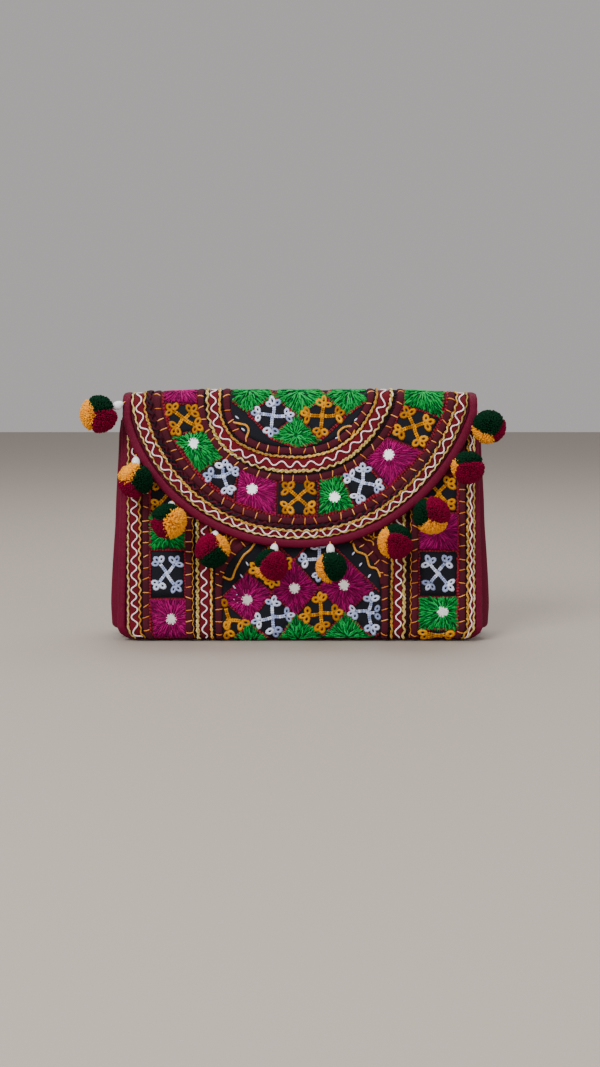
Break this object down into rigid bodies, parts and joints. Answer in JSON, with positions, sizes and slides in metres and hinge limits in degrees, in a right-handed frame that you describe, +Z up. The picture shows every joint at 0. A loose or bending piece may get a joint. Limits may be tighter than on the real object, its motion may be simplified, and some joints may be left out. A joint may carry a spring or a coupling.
{
  "type": "embroidered clutch bag",
  "caption": "Flat-based clutch bag in padded embroidered cloth with mirrors, a rounded flap, satin gussets and yarn pompoms on beads.",
  "frame": {"origin": "middle of the flat underside", "axes": "+X to the right along the width seen from the front, +Y to the back, +Z up"},
  "size_m": [0.2765, 0.0765, 0.166],
  "materials": {
    "embroidered_cloth": "matt cotton, embroidered",
    "maroon_satin": "soft satin sheen",
    "pompom_yarn": "cut yarn ends",
    "white_bead": "polished",
    "mirror_glass": "silvered glass",
    "snap_metal": "plain pressed metal"
  },
  "bodies": {
    "root": {"body_panel": "embroidered_cloth", "flap": "embroidered_cloth", "gusset_left": "maroon_satin", "gusset_right": "maroon_satin", "snap": "snap_metal", "binding_left": "maroon_satin", "binding_right": "maroon_satin", "mouth_binding": "maroon_satin", "flap_binding": "maroon_satin", "pompom_1": "pompom_yarn", "pompom_2": "pompom_yarn", "pompom_3": "pompom_yarn", "pompom_4": "pompom_yarn", "pompom_5": "pompom_yarn", "pompom_6": "pompom_yarn", "pompom_7": "pompom_yarn", "pompom_8": "pompom_yarn", "pompom_9": "pompom_yarn", "pompom_10": "pompom_yarn", "bead_1": "white_bead", "bead_2": "white_bead", "bead_3": "white_bead", "bead_4": "white_bead", "bead_5": "white_bead", "bead_6": "white_bead", "bead_7": "white_bead", "bead_8": "white_bead", "bead_9": "white_bead", "bead_10": "white_bead", "mirror_front_1": "mirror_glass", "mirror_front_2": "mirror_glass", "mirror_front_3": "mirror_glass", "mirror_front_4": "mirror_glass", "mirror_front_5": "mirror_glass", "mirror_flap_1": "mirror_glass", "mirror_flap_2": "mirror_glass", "mirror_flap_3": "mirror_glass", "mirror_flap_4": "mirror_glass", "mirror_back_1": "mirror_glass", "mirror_back_2": "mirror_glass", "mirror_back_3": "mirror_glass", "mirror_back_4": "mirror_glass", "mirror_back_5": "mirror_glass", "mirror_back_6": "mirror_glass"}
  },
  "joints": []
}
